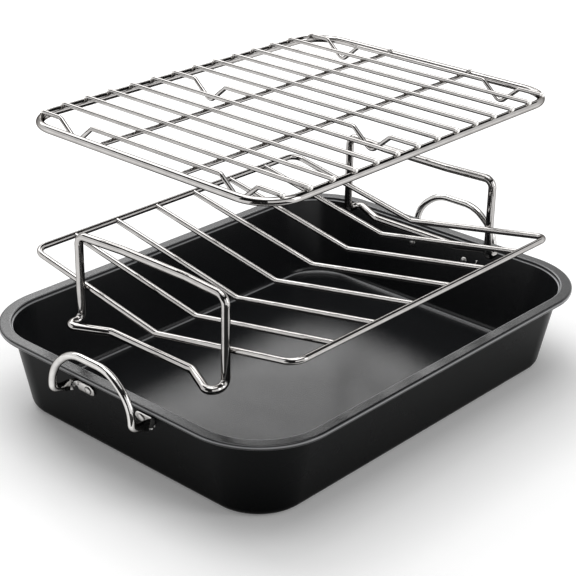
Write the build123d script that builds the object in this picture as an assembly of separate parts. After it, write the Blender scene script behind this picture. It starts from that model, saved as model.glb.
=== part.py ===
from build123d import *
import math
import os

os.makedirs("parts", exist_ok=True)

# All lengths in mm. The origin is the middle of the pan's underside, X runs along the pan, Z is up.

# Pan shell, pressed from one sheet.
sheet = 1.0
rimHalfLength = 215.0
rimHalfWidth = 166.0
rimCornerRadius = 66.0
rimTop = 75.0
flangeWidth = 11.0
seamInset = 35.0  # from the rim's outer edge in to where the flat floor begins
wallRun = 14.0  # how far the wall leans outward on its way up
stepWidth = 2.8
stepDrop = 2.8
floorBendRadius = 8.5
rollBevelWidth = 0.9  # the bevelled corner where the flange turns down
rollDrop = 4.6
rollReturn = 2.2
rollRise = 0.7

# Pan handles, each bent from one rod with its ends hammered flat.
handleRod = 6.2
handleStandOff = 10.0  # from the rim's end out to the rod's middle
handleHalfSpan = 44.5
handleRise = 24.0  # above the rim
handleShoulderDrop = 19.5  # from the top down to where the legs would turn in
handleCrownHalfSpan = 21.0
handleArchRadius = 32.0
handleKneeRise = 5.0  # above the pads
handleKneeRadius = 4.5
handleRoundLength = 7.5
handleTaperLength = 8.0
stripThickness = 2.2
stripHeight = 9.4
padDrop = 19.5  # below the rim
padThickness = 1.8
padBeyondRivet = 6.7
padBevelWidth = 0.9

# Rivets through the pads and the pan's end walls.
rivetInset = 14.5  # from the handle's leg in to the rivet
rivetShank = 3.6
rivetHeadDiameter = 7.0
rivetTailDiameter = 6.4
rivetStepHeight = 0.8
rivetEdgeTaper = 18.0
rivetCrownTaper = 52.0

# V rack: frame, cross wires and loops.
vFrameWire = 5.2
vCrossWire = 4.8
vHalfLength = 158.0
vHalfWidth = 143.0
vEdgeHeight = 125.0
vDrop = 26.5
vCornerRadius = 8.0
vBottomRadius = 11.0
vEndMargin = 43.0  # from the frame's end to the last cross wire
vCrossCount = 6
loopWire = 7.0
loopWeldSink = 0.5  # how far loop and frame are pressed into each other
loopHalfSpan = 80.0
loopRise = 33.0  # above the frame's long edges
loopBow = 4.0
loopBowHalfSpan = 34.0
loopBowRadius = 70.0
loopCornerRadius = 7.5
barDrop = 39.0  # below the frame's long edges
footSpread = 35.0  # from the bar's bend out to the foot
barBendRadius = 12.0
footReach = 18.0
footBendRadius = 6.0

# Flat rack: frame, long wires and cross wires.
flatFrameWire = 6.5
flatWire = 3.6
flatHalfLength = 172.0
flatHalfWidth = 129.5
flatFrameHeight = 242.0
flatCornerRadius = 31.0
flatWeldSink = 0.45  # how far a cross wire is pressed into the frame
flatCrossOverhang = 2.0
flatEndCrossInset = 2.0
flatEndMargin = 16.0  # from the frame's end to the first cross wire
flatCrossCount = 14
flatLegShares = (0, 0.5, 1)  # which of the cross wires, along the rack, have legs
longWireOut = 43.0
longWeldSink = 0.2
legMargin = 25.5  # from the frame's long side in to the leg
legSpread = 36.0
legDepth = 15.5
legTipRadius = 6.0

# Rods are drawn with this many flats, with the area of the round section.
rodSideCount = 12
wireSideCount = 8

# How far a cutting shape runs past what it cuts.
overrun = 6.0


def flip(shape, plane):
    """The shape mirrored in a plane through the origin."""
    return mirror(shape, about=plane)


def rodSection(width, height, flats=rodSideCount):
    """Section of a round or flattened rod: a regular figure with flats on all four sides."""
    turn = 2 * math.pi / flats
    grow = math.sqrt(turn / math.sin(turn)) / 2
    angles = [(index + 1 / 2) * turn for index in range(flats)]
    corners = [(width * grow * math.cos(a), height * grow * math.sin(a)) for a in angles]
    return make_face(Polyline(*corners, close=True))


def bentRod(points, radii, diameter, flats=rodSideCount):
    """A rod along straight runs joined by bends, with two of its flats facing along X at the start."""
    path = FilletPolyline(*points, radius=radii)
    along = path % 0
    across = (1, 0, 0) if abs(along.X) < abs(along.Y) + abs(along.Z) else (0, 0, 1)
    start = Plane(origin=path @ 0, x_dir=across, z_dir=along)
    section = start * rodSection(diameter, diameter, flats)
    return sweep(section, path=path, transition=Transition.RIGHT)


# Places that follow from the sizes
handleOut = rimHalfLength + handleStandOff
handleTop = rimTop + handleRise
handleShoulder = handleTop - handleShoulderDrop
padHeight = rimTop - padDrop
handleKneeHeight = padHeight + handleKneeRise
rivetSpacing = handleHalfSpan - rivetInset
padInnerEnd = rivetSpacing - padBeyondRivet
vCrossPitch = 2 * (vHalfLength - vEndMargin) / (vCrossCount - 1)
loopOut = vHalfLength + (vFrameWire + loopWire) / 2 - loopWeldSink
loopTop = vEdgeHeight + loopRise
barHeight = vEdgeHeight - barDrop
barHalfSpan = loopHalfSpan - footSpread
flatCrossHeight = flatFrameHeight + (flatFrameWire + flatWire) / 2 - flatWeldSink
flatCrossHalfSpan = flatHalfWidth + flatCrossOverhang
flatEndCrossHalfSpan = flatHalfWidth - flatEndCrossInset
flatCrossPitch = 2 * (flatHalfLength - flatEndMargin) / (flatCrossCount - 1)
flatLegNumbers = [1 + int(share * (flatCrossCount - 1)) for share in flatLegShares]
longWireHeight = flatCrossHeight - flatWire + longWeldSink
legOuter = flatHalfWidth - legMargin
legInner = legOuter - legSpread

# Pan shell
seamHalfLength = rimHalfLength - seamInset
seamHalfWidth = rimHalfWidth - seamInset
seamCornerRadius = rimCornerRadius - seamInset
wallHead = seamInset - flangeWidth
wallFoot = wallHead - wallRun
stepHeight = rimTop - sheet - stepDrop
draft = math.atan2(wallRun, stepHeight)
padWallX = seamHalfLength + wallFoot + padHeight * math.tan(draft)


def wallPlane(side):
    """Plane on the outside of an end wall, its local x along Y and its normal outward."""
    normal = (side * math.cos(draft), 0, -math.sin(draft))
    return Plane(origin=(side * padWallX, 0, padHeight), x_dir=(0, 1, 0), z_dir=normal)


def panSection():
    """Section of floor edge, wall, step, flange and rolled edge, x outward from the floor's seam."""
    under = rimTop - sheet
    inside = seamInset - sheet
    rollBottom = rimTop - rollDrop
    points = [
        (0, 0),
        (wallFoot, 0),
        (wallHead, stepHeight),
        (wallHead + stepWidth, stepHeight),
        (wallHead + stepWidth, under),
        (inside - rollBevelWidth, under),
        (inside, under - rollBevelWidth),
        (inside, rollBottom),
        (inside - rollReturn, rollBottom + rollRise),
    ]
    radii = [floorBendRadius] + [0 for corner in points[2:-1]]
    underside = FilletPolyline(*points, radius=radii)
    return make_face(offset(underside, amount=sheet, kind=Kind.INTERSECTION, side=Side.LEFT))


def rivetHole(side, across):
    """Cutter for one rivet hole through an end wall and the pad on it."""
    hole = extrude(rodSection(rivetShank, rivetShank), amount=overrun, both=True)
    return wallPlane(side) * Pos(across, 0, 0) * hole


def panShell():
    """The pressed pan: a swept quarter of the section, mirrored twice, with its flat floor."""
    corner = (seamHalfLength, seamHalfWidth, 0)
    path = FilletPolyline((seamHalfLength, 0, 0), corner, (0, seamHalfWidth, 0), radius=seamCornerRadius)
    start = Plane(origin=path @ 0, x_dir=(1, 0, 0), z_dir=(0, -1, 0))
    quarter = sweep(start * panSection(), path=path)
    half = quarter + flip(quarter, Plane.XZ)
    ring = half + flip(half, Plane.YZ)
    plate = RectangleRounded(2 * seamHalfLength, 2 * seamHalfWidth, seamCornerRadius)
    shell = ring + extrude(plate, amount=sheet)
    for side in (-1, 1):
        for across in (-rivetSpacing, rivetSpacing):
            shell = shell - rivetHole(side, across)
    return shell


def handleEnd():
    """One flattened rod end with its riveting pad, on the +X end wall at +Y."""
    knee = Vector(handleOut, handleHalfSpan, handleKneeHeight)
    wall = Vector(padWallX, handleHalfSpan, padHeight)
    inward = (wall - knee).normalized()
    upright = Vector(0, 1, 0).cross(inward)
    rodEnd = knee + inward * handleRoundLength
    stripStart = rodEnd + inward * handleTaperLength
    roundPlane = Plane(origin=rodEnd, x_dir=upright, z_dir=inward)
    flatPlane = Plane(origin=stripStart, x_dir=upright, z_dir=inward)
    flatSection = flatPlane * rodSection(stripHeight, stripThickness)
    taper = loft([roundPlane * rodSection(handleRod, handleRod), flatSection], ruled=True)
    strip = extrude(flatSection, amount=(wall - stripStart).length + overrun)
    padEnd = handleHalfSpan + stripThickness / 2
    padStart = padInnerEnd + stripHeight / 2
    plate = Pos((padStart + padEnd) / 2, 0) * Rectangle(padEnd - padStart, stripHeight)
    plate = plate + Pos(padStart, 0) * Circle(stripHeight / 2)
    pad = extrude(plate, amount=padThickness)
    outerEdges = pad.edges().filter_by(Axis.Y).sort_by(Axis.X)[-2:]
    pad = chamfer(outerEdges.sort_by(Axis.Z)[-1], padBevelWidth)
    end = taper + strip + wallPlane(1) * pad
    return split(end, bisect_by=wallPlane(1), keep=Keep.TOP)


def panHandle(side):
    """Bent rod handle on one end wall: arch, two knees, flattened ends and pads."""
    knee = Vector(handleOut, handleHalfSpan, handleKneeHeight)
    wall = Vector(padWallX, handleHalfSpan, padHeight)
    rodEnd = knee + (wall - knee).normalized() * handleRoundLength
    points = [
        (rodEnd.X, -rodEnd.Y, rodEnd.Z),
        (knee.X, -knee.Y, knee.Z),
        (handleOut, -handleHalfSpan, handleShoulder),
        (handleOut, -handleCrownHalfSpan, handleTop),
        (handleOut, handleCrownHalfSpan, handleTop),
        (handleOut, handleHalfSpan, handleShoulder),
        (knee.X, knee.Y, knee.Z),
        (rodEnd.X, rodEnd.Y, rodEnd.Z),
    ]
    radii = [handleKneeRadius] + 4 * [handleArchRadius] + [handleKneeRadius]
    end = handleEnd()
    handle = bentRod(points, radii, handleRod) + end + flip(end, Plane.XZ)
    if side < 0:
        handle = flip(handle, Plane.YZ)
    for across in (-rivetSpacing, rivetSpacing):
        handle = handle - rivetHole(side, across)
    return handle


def rivetCap(diameter):
    """A low domed cap in two tapering steps, standing on the XY plane."""
    edge = extrude(rodSection(diameter, diameter), amount=rivetStepHeight, taper=rivetEdgeTaper)
    crown = edge.faces().sort_by(Axis.Z)[-1]
    return edge + extrude(crown, amount=rivetStepHeight, taper=rivetCrownTaper)


def rivet(side, across):
    """One rivet: domed head on the pad, shank, and wider cap inside the pan."""
    grip = padThickness + sheet
    shank = Pos(0, 0, padThickness - grip) * extrude(rodSection(rivetShank, rivetShank), amount=grip)
    head = Pos(0, 0, padThickness) * rivetCap(rivetHeadDiameter)
    tail = Pos(0, 0, padThickness - grip) * flip(rivetCap(rivetTailDiameter), Plane.XY)
    return wallPlane(side) * Pos(across, 0, 0) * (shank + head + tail)


def panRivets():
    """The four identical rivets."""
    spots = [(side, across) for side in (-1, 1) for across in (-rivetSpacing, rivetSpacing)]
    return Compound(children=[rivet(side, across) for side, across in spots])


# V rack
def vFrame():
    """Closed frame: straight long edges, both ends bent down to a shallow V."""
    points = [
        (0, -vHalfWidth, vEdgeHeight),
        (vHalfLength, -vHalfWidth, vEdgeHeight),
        (vHalfLength, 0, vEdgeHeight - vDrop),
        (vHalfLength, vHalfWidth, vEdgeHeight),
        (0, vHalfWidth, vEdgeHeight),
    ]
    half = bentRod(points, [vCornerRadius, vBottomRadius, vCornerRadius], vFrameWire)
    return half + flip(half, Plane.YZ)


def vCross(number, frame):
    """One V cross wire, its ends saddled onto the frame's long edges."""
    x = (number - (vCrossCount + 1) / 2) * vCrossPitch
    points = [
        (x, -vHalfWidth, vEdgeHeight),
        (x, 0, vEdgeHeight - vDrop),
        (x, vHalfWidth, vEdgeHeight),
    ]
    return bentRod(points, [vBottomRadius], vCrossWire, wireSideCount) - frame


def vLoop(side, frame):
    """Loop on one end: bowed top bar, two legs, outward feet and low bar, in one bent wire."""
    points = [
        (loopOut, 0, barHeight),
        (loopOut, barHalfSpan, barHeight),
        (loopOut + footReach, loopHalfSpan, barHeight),
        (loopOut, loopHalfSpan, barHeight),
        (loopOut, loopHalfSpan, loopTop),
        (loopOut - loopBow, loopBowHalfSpan, loopTop),
        (loopOut - loopBow, 0, loopTop),
    ]
    radii = [barBendRadius, footBendRadius, footBendRadius, loopCornerRadius, loopBowRadius]
    half = bentRod(points, radii, loopWire)
    loop = half + flip(half, Plane.XZ)
    if side < 0:
        loop = flip(loop, Plane.YZ)
    return loop - frame


# Flat rack
def flatFrame():
    """Heavy rounded rectangle of wire."""
    points = [
        (0, -flatHalfWidth, flatFrameHeight),
        (flatHalfLength, -flatHalfWidth, flatFrameHeight),
        (flatHalfLength, flatHalfWidth, flatFrameHeight),
        (0, flatHalfWidth, flatFrameHeight),
    ]
    half = bentRod(points, [flatCornerRadius, flatCornerRadius], flatFrameWire)
    return half + flip(half, Plane.YZ)


def flatCross(number, frame):
    """One cross wire laid over the frame; three of them carry two bent-down legs."""
    x = (number - (flatCrossCount + 1) / 2) * flatCrossPitch
    atEnd = number in (1, flatCrossCount)
    reach = flatEndCrossHalfSpan if atEnd else flatCrossHalfSpan
    if number in flatLegNumbers:
        tip = flatCrossHeight - legDepth
        middle = (legOuter + legInner) / 2
        half = [
            (x, reach, flatCrossHeight),
            (x, legOuter, flatCrossHeight),
            (x, middle, tip),
            (x, legInner, flatCrossHeight),
        ]
        points = half + [(x, -y, z) for x, y, z in reversed(half)]
        radii = [0, legTipRadius, 0] * 2
        wire = bentRod(points, radii, flatWire, wireSideCount)
    else:
        start = Plane(origin=(x, -reach, flatCrossHeight), x_dir=(1, 0, 0), z_dir=(0, 1, 0))
        wire = extrude(start * rodSection(flatWire, flatWire, wireSideCount), amount=2 * reach)
    return wire - frame


def flatLong(side, frame, crossWires):
    """One long wire under the cross wires, its ends saddled onto the frame's ends."""
    corner = (-flatHalfLength, side * longWireOut, longWireHeight)
    start = Plane(origin=corner, x_dir=(0, 1, 0), z_dir=(1, 0, 0))
    wire = extrude(start * rodSection(flatWire, flatWire, wireSideCount), amount=2 * flatHalfLength)
    wire = wire - frame
    for crossWire in crossWires:
        wire = wire - crossWire
    return wire


parts = {}
parts["pan_shell"] = panShell()
parts["pan_handle_left"] = panHandle(-1)
parts["pan_handle_right"] = panHandle(1)
parts["pan_handle_rivets"] = panRivets()

parts["v_rack_frame"] = vFrame()
for number in range(1, vCrossCount + 1):
    parts[f"v_rack_cross_wire_{number}"] = vCross(number, parts["v_rack_frame"])
parts["v_rack_loop_left"] = vLoop(-1, parts["v_rack_frame"])
parts["v_rack_loop_right"] = vLoop(1, parts["v_rack_frame"])

parts["flat_rack_frame"] = flatFrame()
flatWires = [flatCross(number, parts["flat_rack_frame"]) for number in range(1, flatCrossCount + 1)]
for number, flatWireNode in enumerate(flatWires, start=1):
    parts[f"flat_rack_wire_{number}"] = flatWireNode
parts["flat_rack_long_wire_front"] = flatLong(-1, parts["flat_rack_frame"], flatWires)
parts["flat_rack_long_wire_back"] = flatLong(1, parts["flat_rack_frame"], flatWires)

for name, shape in parts.items():
    shape.label = name
    export_step(shape, f"parts/{name}.step")
    box = shape.bounding_box()
    print(name, [round(value, 2) for value in (*box.min, *box.max)], round(shape.volume, 1))
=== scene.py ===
import math
import bmesh
import bpy
from mathutils import Matrix, Vector


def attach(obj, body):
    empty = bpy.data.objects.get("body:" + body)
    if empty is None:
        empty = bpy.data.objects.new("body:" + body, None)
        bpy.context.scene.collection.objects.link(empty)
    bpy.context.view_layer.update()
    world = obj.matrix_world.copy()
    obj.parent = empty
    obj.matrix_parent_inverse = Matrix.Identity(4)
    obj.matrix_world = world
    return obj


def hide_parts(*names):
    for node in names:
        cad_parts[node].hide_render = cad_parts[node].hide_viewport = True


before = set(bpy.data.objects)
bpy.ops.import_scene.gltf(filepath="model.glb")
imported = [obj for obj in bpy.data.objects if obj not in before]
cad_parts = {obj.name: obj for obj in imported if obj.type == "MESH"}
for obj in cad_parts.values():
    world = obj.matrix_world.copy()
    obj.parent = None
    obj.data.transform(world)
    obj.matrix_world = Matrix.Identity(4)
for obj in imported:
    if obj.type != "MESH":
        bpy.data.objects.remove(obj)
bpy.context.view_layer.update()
print("frame loaded:", len(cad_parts), "nodes")

mm = 0.001  # sizes below are in mm, the scene is in metres
sharpFrom = 40  # degrees: edges that turn by more are shown sharp
joinWithin = 0.01  # points of a mesh nearer than this are one
noiseRange = (0.3, 0.7)  # where nearly all values of a noise lie


def setInputs(tree, node, inputs):  # maps a socket to a value or to another node's output
    for key, value in inputs.items():
        if isinstance(value, bpy.types.NodeSocket):
            tree.links.new(value, node.inputs[key])
        else:
            node.inputs[key].default_value = value


def addNode(tree, kind, inputs=None, **settings):
    node = tree.nodes.new(kind)
    for key, value in settings.items():
        setattr(node, key, value)
    setInputs(tree, node, inputs or {})
    return node


def mathNode(tree, operation, *values):
    return addNode(tree, "ShaderNodeMath", dict(enumerate(values)), operation=operation).outputs[0]


def mapRange(tree, value, fromMin, fromMax, toMin=0.0, toMax=1.0):
    limits = {"From Min": fromMin, "From Max": fromMax, "To Min": toMin, "To Max": toMax}
    return addNode(tree, "ShaderNodeMapRange", {"Value": value, **limits}).outputs["Result"]


def hexColour(code):  # sRGB hex to linear RGBA
    values = [int(code[i:i + 2], 16) / 255 for i in (1, 3, 5)]
    return [v / 12.92 if v <= 0.04045 else ((v + 0.055) / 1.055) ** 2.4 for v in values] + [1]


def mixTones(tree, share, first, second):  # each tone is a hex colour or a node's output
    tones = [hexColour(tone) if isinstance(tone, str) else tone for tone in (first, second)]
    mix = addNode(tree, "ShaderNodeMix", {"Factor": share, 6: tones[0], 7: tones[1]}, data_type="RGBA")
    return mix.outputs[2]


def objectNoise(tree, size, detail):  # noise on the object's own place, size in mm
    place = addNode(tree, "ShaderNodeTexCoord").outputs["Object"]
    settings = {"Vector": place, "Scale": 1 / (size * mm), "Detail": detail}
    return addNode(tree, "ShaderNodeTexNoise", settings).outputs["Fac"]


def stored(tree, name):  # a number kept on the mesh's points
    return addNode(tree, "ShaderNodeAttribute", attribute_name=name).outputs["Fac"]


def newMaterial(name):  # a material with its tree and shader
    material = bpy.data.materials.new(name)
    material.use_nodes = True
    return material, material.node_tree, material.node_tree.nodes["Principled BSDF"]


def startFinish(name, look):  # patches of two tones and roughnesses, and fine marks in relief
    material, tree, shader = newMaterial(name)
    patches = objectNoise(tree, *look["patches"])
    tone = mixTones(tree, patches, look["light"], look["dark"])
    rough = mapRange(tree, patches, *noiseRange, *look["rough"])
    strength, depth = look["relief"]
    marks = {"Height": objectNoise(tree, *look["marks"]), "Strength": strength, "Distance": depth * mm}
    bump = addNode(tree, "ShaderNodeBump", marks)
    tree.links.new(bump.outputs["Normal"], shader.inputs["Normal"])
    return material, tree, shader, tone, rough


def makeMetal(name, look):
    material, tree, shader, tone, rough = startFinish(name, look)
    # painted shade: a dark ring mixed in at the foot of the rivet head
    if "paintedCreviceShade" in look:
        tone = mixTones(tree, stored(tree, "paintedRingShade"), tone, look["paintedCreviceShade"])
    # painted highlight: the ground wire ends are painted near white
    if "cutEndPaintedHighlight" in look:
        beyond = mathNode(tree, "ABSOLUTE", mathNode(tree, "SUBTRACT", stored(tree, "gauge"), 1.0))
        cut = mapRange(tree, beyond, 0.0, look["cutGauge"])
        tone = mixTones(tree, cut, tone, look["cutEndPaintedHighlight"])
        mix = {"Factor": cut, 2: rough, 3: look["cutRough"]}
        rough = addNode(tree, "ShaderNodeMix", mix, data_type="FLOAT").outputs[0]
    setInputs(tree, shader, {"Base Color": tone, "Roughness": rough, "Metallic": 1,
                             "Specular Tint": hexColour(look["edgeTint"])})
    return material


def makeCoating(name, look):
    material, tree, shader, tone, rough = startFinish(name, look)
    # painted highlights: pale lines mixed in along the bends
    withPaintedHighlights = mixTones(tree, stored(tree, "paintedBendHighlight"), tone, look["paintedHighlightTone"])
    setInputs(tree, shader, {"Base Color": withPaintedHighlights, "Roughness": rough, "IOR": look["ior"],
                             "Specular IOR Level": look["specular"]})
    return material


# Chrome plate on drawn steel wire: bright and all but neutral, with faint lines from the drawing die
platedWire = {
    "light": "#cbc9c7",
    "dark": "#a9a6a4",
    "patches": (9.0, 3),  # size and detail
    "marks": (5.0, 2),
    "relief": (0.05, 0.2),  # strength and depth
    "rough": (0.04, 0.1),
    "edgeTint": "#4e4b48",
    "cutEndPaintedHighlight": "#fffdfa",  # the ground ends, known by a gauge that differs from 1, painted near white as a painted highlight
    "cutGauge": 0.06,
    "cutRough": 0.5,
}
chrome = makeMetal("chromePlatedDrawnWire", platedWire)

# Polished stainless steel: neutral grey, cloudier than chrome, with fine polishing scratches
handleSteel = {
    "light": "#e8e7e5",
    "dark": "#c6c4c2",
    "patches": (6.0, 4),
    "marks": (0.6, 5),
    "relief": (0.08, 0.2),
    "rough": (0.06, 0.15),
    "edgeTint": "#66625e",
}
steel = makeMetal("polishedStainlessSteel", handleSteel)

# Turned stainless steel: duller, with painted shade: a dark ring where the head meets the pad
rivetSteel = {
    "light": "#dcdbd9",
    "dark": "#b3b1af",
    "patches": (2.5, 4),
    "marks": (0.4, 5),
    "relief": (0.08, 0.2),
    "rough": (0.22, 0.38),
    "edgeTint": "#66625e",
    # painted shade: tone of the dark ring at the head's foot
    "paintedCreviceShade": "#1d1b1a",
}
rivetFinish = makeMetal("turnedRivetSteel", rivetSteel)

# Non-stick coating sprayed on steel and baked: near black and satin, with the orange peel of the spray.
# Pale lines painted along the pressed bends stand for the bends' highlights: painted highlights.
innerCoating = {
    "light": "#1f2022",
    "dark": "#151617",
    "paintedHighlightTone": "#c2c3c5",
    "patches": (60.0, 4),
    "marks": (0.9, 2),
    "relief": (0.25, 0.3),
    "rough": (0.17, 0.23),
    "ior": 1.42,
    "specular": 0.5,
}
insideFinish = makeCoating("bakedNonStickInside", innerCoating)

# The same coating without the gloss of the inside's top layer, its colour painted darker than the inside's
# as painted shade on the outer walls, and with the same painted highlight lines on the bends
outerCoating = {
    "light": "#0a0b0c",
    "dark": "#050606",
    "paintedHighlightTone": "#c2c3c5",
    "patches": (60.0, 4),
    "marks": (0.9, 2),
    "relief": (0.15, 0.3),
    "rough": (0.24, 0.32),
    "ior": 1.42,
    "specular": 0.04,
}
outsideFinish = makeCoating("bakedCoatingOutside", outerCoating)

# Resistance-weld nugget: squeezed out at the crossing; its dark tones are partly the browning by the heat
# under the plate and partly painted shade where the wires cross
weldTintAndPaintedShade = {"light": "#8d8680", "dark": "#3b322c", "specks": (1.2, 3), "rough": 0.35}


def makeWeld():
    material, tree, shader = newMaterial("heatTintAndShadeWeldNugget")
    tone = mixTones(tree, objectNoise(tree, *weldTintAndPaintedShade["specks"]), weldTintAndPaintedShade["light"], weldTintAndPaintedShade["dark"])
    setInputs(tree, shader, {"Base Color": tone, "Roughness": weldTintAndPaintedShade["rough"], "Metallic": 1})
    return material


weldFinish = makeWeld()
print("materials made")


def newPiece(name, mesh):
    piece = bpy.data.objects.new(name, mesh)
    bpy.context.scene.collection.objects.link(piece)
    return piece


def finishPiece(piece, body, slot, *nodes):
    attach(piece, body)
    if nodes:
        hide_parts(*nodes)


def storeValues(mesh, name, values):  # one number for each point
    mesh.attributes.new(name, "FLOAT", "POINT").data.foreach_set("value", values)


def newTree(name, inputs, result):
    tree = bpy.data.node_groups.new(name, "GeometryNodeTree")
    for label, kind in inputs:
        tree.interface.new_socket(label, in_out="INPUT", socket_type=kind)
    tree.interface.new_socket(result, in_out="OUTPUT", socket_type="NodeSocketGeometry")
    return tree, addNode(tree, "NodeGroupInput").outputs


def endTree(tree, geometry, finish, result):
    smooth = addNode(tree, "GeometryNodeSetShadeSmooth", {"Geometry": geometry})
    plain = addNode(tree, "GeometryNodeRealizeInstances", {"Geometry": smooth.outputs[0]})
    done = addNode(tree, "GeometryNodeSetMaterial", {"Geometry": plain.outputs[0], "Material": finish})
    addNode(tree, "NodeGroupOutput", {result: done.outputs[0]})
    return tree


def makeWireTree():  # round wire along a route, with bends
    tree, given = newTree("roundWire", [
        ("Route", "NodeSocketGeometry"),
        ("Wire Diameter", "NodeSocketFloat"),
        ("Bend Steps", "NodeSocketInt"),
        ("Round Steps", "NodeSocketInt"),
        ("Finish", "NodeSocketMaterial"),
    ], "Wire")
    bend = addNode(tree, "GeometryNodeInputNamedAttribute", {"Name": "bend"}, data_type="FLOAT")
    gauge = addNode(tree, "GeometryNodeInputNamedAttribute", {"Name": "gauge"}, data_type="FLOAT")
    curve = addNode(tree, "GeometryNodeMeshToCurve", {"Mesh": given["Route"]})
    bent = addNode(tree, "GeometryNodeFilletCurve", {
        "Curve": curve.outputs[0], "Count": given["Bend Steps"], "Radius": bend.outputs[0],
        "Limit Radius": True}, mode="POLY")
    half = mathNode(tree, "MULTIPLY", given["Wire Diameter"], 0.5)
    ring = addNode(tree, "GeometryNodeCurvePrimitiveCircle", {
        "Resolution": given["Round Steps"], "Radius": half})
    wire = addNode(tree, "GeometryNodeCurveToMesh", {
        "Curve": bent.outputs[0], "Profile Curve": ring.outputs[0], "Scale": gauge.outputs[0],
        "Fill Caps": True})
    return endTree(tree, wire.outputs[0], given["Finish"], "Wire")


def makeSpotTree():  # one small form repeated on points, turned to each point's own direction
    tree, given = newTree("repeatOnSpots", [
        ("Spots", "NodeSocketGeometry"),
        ("Form", "NodeSocketObject"),
        ("Finish", "NodeSocketMaterial"),
    ], "Forms")
    facing = addNode(tree, "GeometryNodeInputNamedAttribute", {"Name": "facing"}, data_type="FLOAT_VECTOR")
    turn = addNode(tree, "FunctionNodeAlignRotationToVector", {"Vector": facing.outputs[0]}, axis="Z")
    form = addNode(tree, "GeometryNodeObjectInfo", {"Object": given["Form"]})
    points = addNode(tree, "GeometryNodeMeshToPoints", {"Mesh": given["Spots"]})
    copies = addNode(tree, "GeometryNodeInstanceOnPoints", {
        "Points": points.outputs[0], "Instance": form.outputs["Geometry"], "Rotation": turn.outputs[0]})
    return endTree(tree, copies.outputs[0], given["Finish"], "Forms")


wireTree = makeWireTree()
spotTree = makeSpotTree()


def runTree(name, source, tree, values):  # keeps the result as a plain mesh
    piece = newPiece(name, source)
    modifier = piece.modifiers.new("shape", "NODES")
    modifier.node_group = tree
    for item in tree.interface.items_tree:
        if item.in_out == "INPUT" and item.name in values:
            modifier[item.identifier] = values[item.name]
    graph = bpy.context.evaluated_depsgraph_get()
    made = bpy.data.meshes.new_from_object(piece.evaluated_get(graph))
    piece.modifiers.clear()
    piece.data = made
    made.name = name
    made.set_sharp_from_angle(angle=math.radians(sharpFrom))
    return piece


def routeMesh(name, routes, closed):  # each route is a list of (x, y, z, bend radius) and perhaps a gauge
    points = [point for route in routes for point in route]
    edges = []
    first = 0
    for route in routes:
        last = first + len(route) - 1
        edges += [(i, i + 1) for i in range(first, last)]
        if closed:
            edges.append((last, first))
        first = last + 1
    mesh = bpy.data.meshes.new(name)
    mesh.from_pydata([Vector(p[:3]) * mm for p in points], edges, [])
    storeValues(mesh, "bend", [p[3] * mm for p in points])
    storeValues(mesh, "gauge", [p[4] if len(p) > 4 else 1 for p in points])
    return mesh


def bentWire(name, routes, diameter, closed=False, bendSteps=12, roundSteps=24):
    values = {"Wire Diameter": diameter * mm, "Bend Steps": bendSteps, "Round Steps": roundSteps,
              "Finish": chrome}
    return runTree(name, routeMesh(name + "Route", routes, closed), wireTree, values)


# distance from a wire's end, and the gauge there: ground to a low bead
beadEnd = ((0, 0.45), (0.35, 0.85), (0.8, 1.09), (2.2, 1.09), (2.8, 1))


def beadedRun(points):
    first, second = Vector(points[0][:3]), Vector(points[1][:3])
    last, before = Vector(points[-1][:3]), Vector(points[-2][:3])
    start = [(*(first + (second - first).normalized() * reach), 0, gauge) for reach, gauge in beadEnd]
    end = [(*(last + (before - last).normalized() * reach), 0, gauge) for reach, gauge in reversed(beadEnd)]
    return start + points[1:-1] + end


def repeatForm(name, places, form, finish):  # places is a list of (point, direction), form a mesh
    mesh = bpy.data.meshes.new(name + "Spots")
    mesh.from_pydata([Vector(point) * mm for point, direction in places], [], [])
    flat = [value for point, direction in places for value in direction]
    mesh.attributes.new("facing", "FLOAT_VECTOR", "POINT").data.foreach_set("vector", flat)
    holder = newPiece(name + "Form", form)
    piece = runTree(name, mesh, spotTree, {"Form": holder, "Finish": finish})
    bpy.data.objects.remove(holder)
    return piece


def closeMesh(mesh, sharpAngle=sharpFrom):  # merges doubles, turns the faces outward and shades them smooth
    work = bmesh.new()
    work.from_mesh(mesh)
    bmesh.ops.remove_doubles(work, verts=work.verts, dist=joinWithin * mm)
    bmesh.ops.recalc_face_normals(work, faces=work.faces)
    work.to_mesh(mesh)
    work.free()
    mesh.polygons.foreach_set("use_smooth", [True] * len(mesh.polygons))
    mesh.set_sharp_from_angle(angle=math.radians(sharpAngle))


def tubeFaces(rings, count):  # the faces between rings of count points each
    faces = []
    for here in range(0, (rings - 1) * count, count):
        after = here + count
        for i in range(count):
            j = (i + 1) % count
            faces.append((here + i, here + j, after + j, after + i))
    return faces


def turnedForm(name, profile, steps, **shading):  # profile is a list of (radius, height), turned about Z
    points = []
    for radius, height in profile:
        for step in range(steps):
            angle = 2 * math.pi * step / steps
            points.append((radius * math.cos(angle) * mm, radius * math.sin(angle) * mm, height * mm))
    mesh = bpy.data.meshes.new(name)
    mesh.from_pydata(points, [], tubeFaces(len(profile), steps))
    closeMesh(mesh, **shading)
    return mesh


def roundedLine(points, steps):  # (x, y, radius) corners to a smooth line of points
    line = []
    for index, (x, y, radius) in enumerate(points):
        here = Vector((x, y))
        if radius == 0:
            line.append(here)
            continue
        back = (Vector(points[index - 1][:2]) - here).normalized()
        ahead = (Vector(points[index + 1][:2]) - here).normalized()
        half = back.angle(ahead) / 2
        centre = here + (back + ahead).normalized() * (radius / math.sin(half))
        start = here + back * (radius / math.tan(half)) - centre
        end = here + ahead * (radius / math.tan(half)) - centre
        sweep = start.angle(end)
        for step in range(steps + 1):
            share = step / steps
            arm = start * math.sin((1 - share) * sweep) + end * math.sin(share * sweep)
            line.append(centre + arm / math.sin(sweep))
    return line


def directionAt(line, index):
    before = line[max(index - 1, 0)]
    after = line[min(index + 1, len(line) - 1)]
    return (after - before).normalized()


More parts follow.
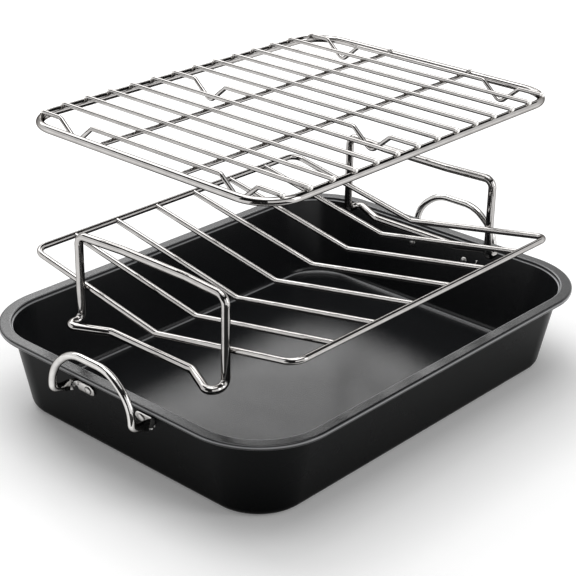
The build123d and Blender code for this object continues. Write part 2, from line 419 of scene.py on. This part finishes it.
panShell = {
    "seamHalfLength": 180.0,
    "seamHalfWidth": 131.0,
    "seamCornerRadius": 31.0,
    "cornerSteps": 28,
    "sheet": 1.0,
    "bendSteps": 10,
    # middle of the sheet, outward from the floor's seam and up, with each bend's radius
    "section": [
        (0, 0.5, 0),
        (9.59, 0.5, 8.0),
        (23.59, 71.7, 0.6),
        (24.8, 71.7, 0.6),
        (24.8, 74.5, 1.0),
        (26.3, 74.5, 0),
        (32.6, 74.5, 0),
        (34.5, 74.5, 1.5),
        (34.5, 70.9, 1.2),
        (31.8, 71.6, 0),
    ],
    # painted highlight lines on the bends: out, height and reach of the pale line, and how strong it is
    "paintedHighlightLines": [
        (25.1, 74.9, 0.9, 0.5),
        (23.9, 72.0, 0.9, 1.0),
        (35.0, 73.4, 1.0, 0.75),
        (7.8, 2.7, 0.95, 0.7),
    ],
}


def sheetSides():  # the section's inner and outer line
    size = panShell
    middle = roundedLine(size["section"], size["bendSteps"])
    inner, outer = [], []
    for index, point in enumerate(middle):
        along = directionAt(middle, index)
        across = Vector((-along.y, along.x)) * size["sheet"] / 2
        inner.append(point + across)
        outer.append(point - across)
    return inner, outer


def seamPath():  # points on the floor's seam, each with the outward direction there
    size = panShell
    radius = size["seamCornerRadius"]
    long, wide = size["seamHalfLength"] - radius, size["seamHalfWidth"] - radius
    path = []
    for quarter, (signX, signY) in enumerate(((1, 1), (-1, 1), (-1, -1), (1, -1))):
        centre = Vector((signX * long, signY * wide))
        for step in range(size["cornerSteps"] + 1):
            angle = math.radians(90) * (quarter + step / size["cornerSteps"])
            out = Vector((math.cos(angle), math.sin(angle)))
            path.append((centre + out * radius, out))
    return path


def makePanShell():
    size = panShell
    inner, outer = sheetSides()
    loop = inner + outer[::-1]
    path = seamPath()
    points = [(*(seam + out * p.x), p.y) for seam, out in path for p in loop]
    # how strongly each point of the section takes the painted highlight lines
    thin = [max(strength * max(0, 1 - (p - Vector(place)).length / reach)
                for *place, reach, strength in size["paintedHighlightLines"]) for p in loop]
    count = len(loop)
    starts = [ring * count for ring in range(len(path))]
    faces = []
    for here, following in zip(starts, starts[1:] + starts[:1]):
        faces += [(here + i, here + i + 1, following + i + 1, following + i) for i in range(count - 1)]
    faces.append(tuple(starts))  # floor, inside
    faces.append(tuple(start + count - 1 for start in reversed(starts)))  # floor, underside
    mesh = bpy.data.meshes.new("panShellPressed")
    mesh.from_pydata([Vector(p) * mm for p in points], [], faces)
    mesh.polygons.foreach_set("use_smooth", [True] * len(mesh.polygons))
    storeValues(mesh, "paintedBendHighlight", thin * len(path))
    mesh.materials.append(insideFinish)
    mesh.materials.append(outsideFinish)
    for face in mesh.polygons:  # the sheet's own underside, from its cut edge to the base
        face.material_index = int(min(i % count for i in face.vertices) >= len(inner) + size["bendSteps"])
    mesh.update()
    return newPiece("panShellPressed", mesh)


finishPiece(makePanShell(), "pan", "pan_coating", "pan_shell")
print("pan shell made")


panHandle = {
    "rod": 6.2,
    "out": 225.0,
    "halfSpan": 44.5,
    "top": 99.0,
    "shoulder": 79.5,
    "crownHalfSpan": 21.0,
    "archRadius": 32.0,
    "archSteps": 14,
    "kneeHeight": 60.5,
    "kneeRadius": 4.5,
    "roundLength": 7.5,
    "taperLength": 8.0,
    "taperSteps": 5,
    "stripThickness": 2.2,
    "stripHeight": 9.4,
    "wallX": 200.91,
    "wallRun": 14.0,
    "wallRise": 71.2,
    "padHeight": 55.5,
    "padThickness": 1.8,
    "padInnerEnd": 23.3,
    "padBend": 3.2,
    "padSteps": 8,
    "padTip": 0.4,
    "rodSquare": 2,  # 2 is round, more is nearer to a rectangle
    "stripSquare": 4,
    "ringSteps": 28,
}
wallLean = math.atan2(panHandle["wallRun"], panHandle["wallRise"])  # the end wall's lean outward
wallOut = Vector((math.cos(wallLean), 0, -math.sin(wallLean)))
wallUp = Vector((math.sin(wallLean), 0, math.cos(wallLean)))


def stationRing(place, tall, thick, halfTall, halfThick, square):  # one ring of a rod or strip
    ring = []
    for step in range(panHandle["ringSteps"]):
        angle = 2 * math.pi * step / panHandle["ringSteps"]
        c, s = math.cos(angle), math.sin(angle)
        reach = (abs(c) ** square + abs(s) ** square) ** (-1 / square)
        ring.append(place + tall * (halfTall * c * reach) + thick * (halfThick * s * reach))
    return ring


def handleStations():  # half of the right handle from crown to pad, each station as stationRing takes it
    size = panHandle
    rod, rodSquare, stripSquare = size["rod"] / 2, size["rodSquare"], size["stripSquare"]
    up, across = Vector((0, 0, 1)), Vector((0, 1, 0))
    knee = Vector((size["out"], size["halfSpan"], size["kneeHeight"]))
    wall = Vector((size["wallX"], size["halfSpan"], size["padHeight"]))
    inward = (wall - knee).normalized()
    upright = across.cross(inward) * -1
    stations = []

    turn = (-up).angle(inward)
    kneeTop = size["kneeHeight"] + size["kneeRadius"] * math.tan(turn / 2)
    arch = roundedLine([
        (0, size["top"], 0),
        (size["crownHalfSpan"], size["top"], size["archRadius"]),
        (size["halfSpan"], size["shoulder"], size["archRadius"]),
        (size["halfSpan"], kneeTop, 0),
    ], size["archSteps"])
    for index, point in enumerate(arch):
        along = directionAt(arch, index)
        place = Vector((size["out"], point.x, point.y))
        stations.append((place, Vector((-1, 0, 0)), Vector((0, along.y, -along.x)), rod, rod, rodSquare))

    kneeCentre = Vector((size["out"] - size["kneeRadius"], size["halfSpan"], kneeTop))
    for step in range(1, size["archSteps"] + 1):
        angle = turn * step / size["archSteps"]
        spoke = Vector((math.cos(angle), 0, -math.sin(angle)))
        stations.append((kneeCentre + spoke * size["kneeRadius"], -spoke, -across, rod, rod, rodSquare))

    rodEnd = knee + inward * size["roundLength"]
    tall, thin = size["stripHeight"] / 2, size["stripThickness"] / 2
    for step in range(size["taperSteps"] + 1):  # hammered flat
        share = step / size["taperSteps"]
        ease = share * share * (3 - 2 * share)
        place = rodEnd + inward * (size["taperLength"] * share)
        halfTall, halfThick = rod + (tall - rod) * ease, rod + (thin - rod) * ease
        square = rodSquare + (stripSquare - rodSquare) * ease
        stations.append((place, -upright, -across, halfTall, halfThick, square))

    padMiddle = size["padThickness"] / 2
    bendStart = wall - inward * (size["padBend"] + padMiddle) / abs(inward.dot(wallOut))
    bendEnd = wall - across * size["padBend"] + wallOut * padMiddle
    corner = wall + wallOut * padMiddle
    for step in range(1, size["padSteps"] + 1):  # bent flat against the wall
        share = step / size["padSteps"]
        place = bendStart * (1 - share) ** 2 + corner * (2 * share * (1 - share)) + bendEnd * share ** 2
        tallWay = (-upright).lerp(-wallUp, share).normalized()
        along = ((corner - bendStart) * (1 - share) + (bendEnd - corner) * share).normalized()
        thinWay = along.cross(tallWay).normalized()
        stations.append((place, tallWay, thinWay, tall, thin + (padMiddle - thin) * share, stripSquare))
    roundStart = size["padInnerEnd"] + tall
    place = corner - across * (size["halfSpan"] - roundStart)
    for step in range(size["padSteps"] + 1):  # rounded end
        angle = math.radians(90) * step / size["padSteps"]
        width = max(tall * math.cos(angle), size["padTip"])
        tip = place - across * (tall * math.sin(angle))
        stations.append((tip, -wallUp, thinWay, width, padMiddle, stripSquare))
    return stations


def makeHandle(side):
    rings = [stationRing(*station) for station in handleStations()]
    mirrored = [[Vector((p.x, -p.y, p.z)) for p in ring] for ring in rings[:0:-1]]
    rings = mirrored + rings
    if side < 0:
        rings = [[Vector((-p.x, p.y, p.z)) for p in ring] for ring in rings]
    count = panHandle["ringSteps"]
    faces = tubeFaces(len(rings), count)
    faces += [tuple(range(count)), tuple((len(rings) - 1) * count + i for i in reversed(range(count)))]
    name = "panHandleRod" + ("Left" if side < 0 else "Right")
    mesh = bpy.data.meshes.new(name)
    mesh.from_pydata([p * mm for ring in rings for p in ring], [], faces)
    closeMesh(mesh)
    mesh.materials.append(steel)
    return newPiece(name, mesh)


finishPiece(makeHandle(-1), "pan", "handle_steel", "pan_handle_left")
finishPiece(makeHandle(1), "pan", "handle_steel", "pan_handle_right")

rivets = {
    "spacing": 30.0,
    "head": 7.0,
    "tail": 6.4,
    "shank": 3.6,
    "crown": 1.5,
    "grip": 2.8,
    "steps": 28,
    "domeSteps": 8,
    "paintedShadeHeight": 0.9,
}


def makeRivetForm():  # turned profile: head outside the pad, shank, flatter cap inside the pan
    size = rivets
    top = panHandle["padThickness"]
    inside = top - size["grip"]
    angles = [math.radians(90) * step / size["domeSteps"] for step in range(size["domeSteps"] + 1)]
    arc = [(math.sin(angle), size["crown"] * math.cos(angle)) for angle in angles]
    profile = [(size["head"] / 2 * out, top + high) for out, high in arc]
    profile += [(size["shank"] / 2, top), (size["shank"] / 2, inside)]
    profile += [(size["tail"] / 2 * out, inside - high) for out, high in reversed(arc)]
    mesh = turnedForm("rivetForm", profile, size["steps"])
    heights = [vertex.co.z / mm for vertex in mesh.vertices]
    # painted shade: darkest at the pad, gone at this height above it
    paintedRingShade = [max(0, 1 - (height - top) / size["paintedShadeHeight"]) if height > 0 else 0 for height in heights]
    storeValues(mesh, "paintedRingShade", paintedRingShade)
    return mesh


def makeRivets():
    places = []
    for side in (-1, 1):
        out = Vector((side * wallOut.x, 0, wallOut.z))
        for across in (-1, 1):
            place = (side * panHandle["wallX"], across * rivets["spacing"], panHandle["padHeight"])
            places.append((place, out))
    return repeatForm("panHandleRivetSet", places, makeRivetForm(), rivetFinish)


finishPiece(makeRivets(), "pan", "rivet_steel", "pan_handle_rivets")
print("handles and rivets made")


def rowPlace(number, size):  # where a numbered cross wire lies
    return (number - (size["crossCount"] + 1) / 2) * size["crossPitch"]


vRack = {
    "frameWire": 5.2,
    "crossWire": 4.8,
    "halfLength": 158.0,
    "halfWidth": 143.0,
    "edgeHeight": 125.0,
    "drop": 26.5,
    "cornerRadius": 11.0,
    "bottomRadius": 11.0,
    "crossPitch": 46.0,
    "crossCount": 6,
    "crossInset": 0.6,  # each end stops within the frame's own wire
    "nuggetInset": 2.4,
    "nuggetDrop": 1.0,
    "nuggetLean": 0.2,
    "loopWire": 7.0,
    "loopOut": 163.6,
    "loopHalfSpan": 80.0,
    "loopTop": 158.0,
    "loopBow": 4.0,
    "loopBowHalfSpan": 34.0,
    "loopBowRadius": 70.0,
    "loopCornerRadius": 7.5,
    "barHeight": 86.0,
    "barHalfSpan": 45.0,
    "barBendRadius": 12.0,
    "footReach": 18.0,
    "footBendRadius": 6.0,
}


def makeVRack():
    size = vRack
    long, wide, edge = size["halfLength"], size["halfWidth"], size["edgeHeight"]
    low = edge - size["drop"]
    corner, bottom = size["cornerRadius"], size["bottomRadius"]
    route = [
        (long, -wide, edge, corner), (long, 0, low, bottom), (long, wide, edge, corner),
        (-long, wide, edge, corner), (-long, 0, low, bottom), (-long, -wide, edge, corner),
    ]
    rim = bentWire("vRackFrameWire", [route], size["frameWire"], closed=True)
    finishPiece(rim, "v_rack", "v_rack_chrome", "v_rack_frame")

    crossings = []
    routes = []
    reach = wide - size["crossInset"]
    edgeAt = edge - size["drop"] * (wide - reach) / wide
    numbers = range(1, size["crossCount"] + 1)
    for x in [rowPlace(number, size) for number in numbers]:
        routes.append([(x, -reach, edgeAt, 0), (x, 0, low, bottom), (x, reach, edgeAt, 0)])
        for side in (-1, 1):
            place = (x, side * (wide - size["nuggetInset"]), edge - size["nuggetDrop"])
            crossings.append((place, (0, side, size["nuggetLean"])))
    cross = bentWire("vRackCrossWires", routes, size["crossWire"])
    finishPiece(cross, "v_rack", "v_rack_chrome", *[f"v_rack_cross_wire_{n}" for n in numbers])

    out, span = size["loopOut"], size["loopHalfSpan"]
    for side, word in ((-1, "left"), (1, "right")):
        half = [
            (out, size["barHalfSpan"], size["barHeight"], size["barBendRadius"]),
            (out + size["footReach"], span, size["barHeight"], size["footBendRadius"]),
            (out, span, size["barHeight"], size["footBendRadius"]),
            (out, span, size["loopTop"], size["loopCornerRadius"]),
            (out - size["loopBow"], size["loopBowHalfSpan"], size["loopTop"], size["loopBowRadius"]),
        ]
        whole = [(side * x, y, z, r) for x, y, z, r in half]
        whole += [(side * x, -y, z, r) for x, y, z, r in reversed(half)]
        name = "vRackLoop" + word.capitalize()
        loop = bentWire(name, [whole], size["loopWire"], closed=True, bendSteps=14)
        finishPiece(loop, "v_rack", "v_rack_chrome", "v_rack_loop_" + word)
        height = edge - size["drop"] * (1 - span / wide)
        middle = (long + out) / 2
        crossings += [((side * middle, y * span, height), (1, 0, 0)) for y in (-1, 1)]
    return crossings


vRackCrossings = makeVRack()
print("V rack made")


flatRack = {
    "frameWire": 6.5,
    "wire": 3.6,
    "halfLength": 172.0,
    "halfWidth": 129.5,
    "frameHeight": 242.0,
    "cornerRadius": 31.0,
    "crossHeight": 246.3,
    "crossHalfSpan": 130.2,
    "endCrossHalfSpan": 126.4,
    "frontEnd": 1.8,
    "crossPitch": 24.0,
    "crossCount": 14,
    "nuggetInset": 0.5,
    "nuggetLift": 0.4,
    "legWires": (1, 7, 14),
    "longWireOut": 43.0,
    "longWireHeight": 243.2,
    "longRiseFrom": 158.5,
    "longRiseRadius": 10.0,
    "longEndOut": 173.2,
    "longEndHeight": 245.3,
    "legOuter": 104.0,
    "legInner": 68.0,
    "legDepth": 15.5,
    "legTipRadius": 6.0,
    "legTopRadius": 4.0,
}


def makeFlatRack():
    size = flatRack
    long, wide, level = size["halfLength"], size["halfWidth"], size["frameHeight"]
    corners = ((long, -wide), (long, wide), (-long, wide), (-long, -wide))
    route = [(x, y, level, size["cornerRadius"]) for x, y in corners]
    rim = bentWire("flatRackFrameWire", [route], size["frameWire"], closed=True, bendSteps=24)
    finishPiece(rim, "flat_rack", "flat_rack_chrome", "flat_rack_frame")

    crossings = []
    routes = []
    high, up = size["crossHeight"], (0, 0, 1)
    legMiddle = (size["legOuter"] + size["legInner"]) / 2
    numbers = range(1, size["crossCount"] + 1)
    for number in numbers:
        x = rowPlace(number, size)
        reach = size["endCrossHalfSpan"] if number in (1, size["crossCount"]) else size["crossHalfSpan"]
        half = [(x, reach, high, 0)]
        if number in size["legWires"]:
            half += [
                (x, size["legOuter"], high, size["legTopRadius"]),
                (x, legMiddle, high - size["legDepth"], size["legTipRadius"]),
                (x, size["legInner"], high, size["legTopRadius"]),
            ]
        front = [(x, -y, z, r) for x, y, z, r in reversed(half)]
        front[-1] = (x, -reach - size["frontEnd"], high, 0)
        routes.append(beadedRun(half + front))
        edge = min(wide, reach - size["nuggetInset"])
        seat = (level + high) / 2 + size["nuggetLift"]
        crossings += [((x, side * edge, seat), up) for side in (-1, 1)]
        crossings += [((x, side * size["longWireOut"], high - size["wire"] / 2), up) for side in (-1, 1)]
    cross = bentWire("flatRackCrossWires", routes, size["wire"], bendSteps=8, roundSteps=20)
    finishPiece(cross, "flat_rack", "flat_rack_chrome", *[f"flat_rack_wire_{n}" for n in numbers])

    low = size["longWireHeight"]
    run = [  # butted to the frame at one end, laid on it at the other
        (-long, low, 0),
        (size["longRiseFrom"], low, size["longRiseRadius"]),
        (size["longEndOut"], size["longEndHeight"], 0),
    ]
    routes = [beadedRun([(x, side * size["longWireOut"], z, r) for x, z, r in run]) for side in (-1, 1)]
    lengthwise = bentWire("flatRackLongWires", routes, size["wire"], roundSteps=20)
    finishPiece(lengthwise, "flat_rack", "flat_rack_chrome",
                "flat_rack_long_wire_front", "flat_rack_long_wire_back")
    return crossings


flatRackCrossings = makeFlatRack()
print("flat rack made")

weldNugget = {"wide": 2.1, "tall": 1.1, "rings": 8, "steps": 16}


def makeNuggets(name, crossings):
    size = weldNugget
    tilts = [math.pi * ring / size["rings"] for ring in range(size["rings"] + 1)]
    profile = [(size["wide"] * math.sin(tilt), size["tall"] * math.cos(tilt)) for tilt in tilts]
    form = turnedForm("nuggetForm", profile, size["steps"], sharpAngle=180)
    return repeatForm(name, crossings, form, weldFinish)


finishPiece(makeNuggets("vRackWeldNuggets", vRackCrossings), "v_rack", "v_rack_chrome")
finishPiece(makeNuggets("flatRackWeldNuggets", flatRackCrossings), "flat_rack", "flat_rack_chrome")
print("weld nuggets made")


studio = {  # in metres
    "floorSize": 8.0,
    "floorColour": "#f4f4f4",
    "floorRough": 0.9,
    "base": (0.18, 0.131, 0.0),  # half size of the pan's base
    "glowWithPaintedShade": [(0.13, 0.05), (0.27, 0.125), (1.0, 2.0)],  # the floor's glow, strength and distance from that base; kept weaker near the base as painted shade
    "fillStrength": 0.36,
    "cardColour": "#101010",
    "aim": (0.0, 0.0, 0.1),
    "lamps": [
        # name, place, width, height, power
        ("topSoftbox", (0.0, 0.1, 2.3), 1.6, 1.6, 17),
        ("keySoftbox", (0.48, 1.78, 1.94), 1.7, 1.7, 25),
        ("rimSoftbox", (1.62, 1.56, 1.3), 1.25, 0.6, 4.8),
        ("sideSoftbox", (0.8, -2.0, 1.0), 0.7, 1.4, 8),
    ],
    # dark cards that only reflections see: from and to azimuth, then radius and height of both edges
    "cards": [
        (0.0, 360.0, (2.6, 1.85), (2.6, 4.1)),
        (160.0, 224.0, (2.6, 0.0), (2.6, 1.85)),
        (192.0, 262.0, (0.33, 0.002), (2.5, 0.002)),
        (30.0, 60.0, (0.6, 0.002), (3.4, 0.002)),
    ],
    "cardStep": 15.0,
}


def seenByEye(tree):  # 1 for the camera and for what metal or glass shows, 0 for light on the object
    path = addNode(tree, "ShaderNodeLightPath").outputs
    seen = mathNode(tree, "MAXIMUM", path["Is Camera Ray"], path["Is Glossy Ray"])
    return mathNode(tree, "MAXIMUM", seen, path["Is Transmission Ray"])


def floorGlowAndPaintedShade(tree):  # grows to white with the distance from the pan's base; the weaker glow near the base is painted shade
    away = addNode(tree, "ShaderNodeTexCoord").outputs["Object"]
    for operation, *other in (("ABSOLUTE",), ("SUBTRACT", studio["base"]), ("MAXIMUM", (0, 0, 0))):
        inputs = dict(enumerate([away, *other]))
        away = addNode(tree, "ShaderNodeVectorMath", inputs, operation=operation).outputs[0]
    away = addNode(tree, "ShaderNodeVectorMath", {0: away}, operation="LENGTH").outputs["Value"]
    glowWithPaintedShade = studio["glowWithPaintedShade"]
    level = glowWithPaintedShade[0][0]
    for (weak, near), (strong, far) in zip(glowWithPaintedShade, glowWithPaintedShade[1:]):
        level = mathNode(tree, "ADD", mapRange(tree, away, near, far, 0, strong - weak), level)
    return level


def makeFloor():
    half = studio["floorSize"] / 2
    mesh = bpy.data.meshes.new("studioFloor")
    corners = [(-half, -half, 0), (half, -half, 0), (half, half, 0), (-half, half, 0)]
    mesh.from_pydata(corners, [], [(0, 1, 2, 3)])
    material, tree, shader = newMaterial("matteStudioFloor")
    setInputs(tree, shader, {
        "Base Color": hexColour(studio["floorColour"]),
        "Roughness": studio["floorRough"],
        "Specular IOR Level": 0,
        "Emission Color": (1, 1, 1, 1),
        "Emission Strength": mathNode(tree, "MULTIPLY", seenByEye(tree), floorGlowAndPaintedShade(tree)),
    })
    mesh.materials.append(material)
    newPiece("studioFloor", mesh)


def makeCards():
    points, quads = [], []
    for start, stop, *edges in studio["cards"]:
        steps = math.ceil((stop - start) / studio["cardStep"])
        for step in range(steps + 1):
            angle = math.radians(start + (stop - start) * step / steps)
            for radius, height in edges:
                points.append((radius * math.cos(angle), radius * math.sin(angle), height))
            if step:
                last = len(points) - 1
                quads.append((last - 3, last - 1, last, last - 2))
    mesh = bpy.data.meshes.new("darkCards")
    mesh.from_pydata(points, [], quads)
    material, tree, shader = newMaterial("blackStudioCard")
    setInputs(tree, shader, {"Base Color": hexColour(studio["cardColour"]), "Roughness": 1})
    mesh.materials.append(material)
    cards = newPiece("darkCards", mesh)
    cards.visible_camera = cards.visible_diffuse = cards.visible_shadow = False


def makeWorld():
    world = bpy.data.worlds.new("studioWorld")
    bpy.context.scene.world = world
    world.use_nodes = True
    tree = world.node_tree
    tree.nodes.clear()
    strength = mapRange(tree, seenByEye(tree), 0.0, 1.0, studio["fillStrength"], 1.0)
    sky = addNode(tree, "ShaderNodeBackground", {"Color": (1, 1, 1, 1), "Strength": strength})
    addNode(tree, "ShaderNodeOutputWorld", {"Surface": sky.outputs[0]})


def makeLamps():
    for name, place, width, height, power in studio["lamps"]:
        lamp = bpy.data.lights.new(name, "AREA")
        lamp.shape = "RECTANGLE"
        lamp.size, lamp.size_y = width, height
        lamp.energy = power
        holder = newPiece(name, lamp)
        holder.location = place
        holder.rotation_mode = "QUATERNION"
        holder.rotation_quaternion = (Vector(studio["aim"]) - Vector(place)).to_track_quat("-Z", "Y")


makeFloor()
makeCards()
makeWorld()
makeLamps()
print("studio made")

photoCamera = {  # place in metres, angles in degrees
    "place": (-0.8800, -0.7825, 0.6309),
    "azimuth": -48.1,
    "elevation": 24.9,
    "roll": 1.0,
    "sensor": 36.0,
    "lens": 96.9,
    "clip": (0.05, 50),
}


def makeCamera():
    view = photoCamera
    turn, rise, roll = (math.radians(view[key]) for key in ("azimuth", "elevation", "roll"))
    back = Vector((math.sin(turn) * math.cos(rise), -math.cos(turn) * math.cos(rise), math.sin(rise)))
    level = Vector((math.cos(turn), math.sin(turn), 0))
    rising = back.cross(level)
    right = level * math.cos(roll) + rising * math.sin(roll)
    top = back.cross(right)
    data = bpy.data.cameras.new("photoCamera")
    data.sensor_width = view["sensor"]
    data.lens = view["lens"]
    data.clip_start, data.clip_end = view["clip"]
    camera = newPiece("photoCamera", data)
    turned = Matrix((right, top, back)).transposed().to_4x4()
    camera.matrix_world = Matrix.Translation(view["place"]) @ turned
    bpy.context.scene.camera = camera


makeCamera()
bpy.context.scene.view_settings.view_transform = "Standard"
print("camera made")
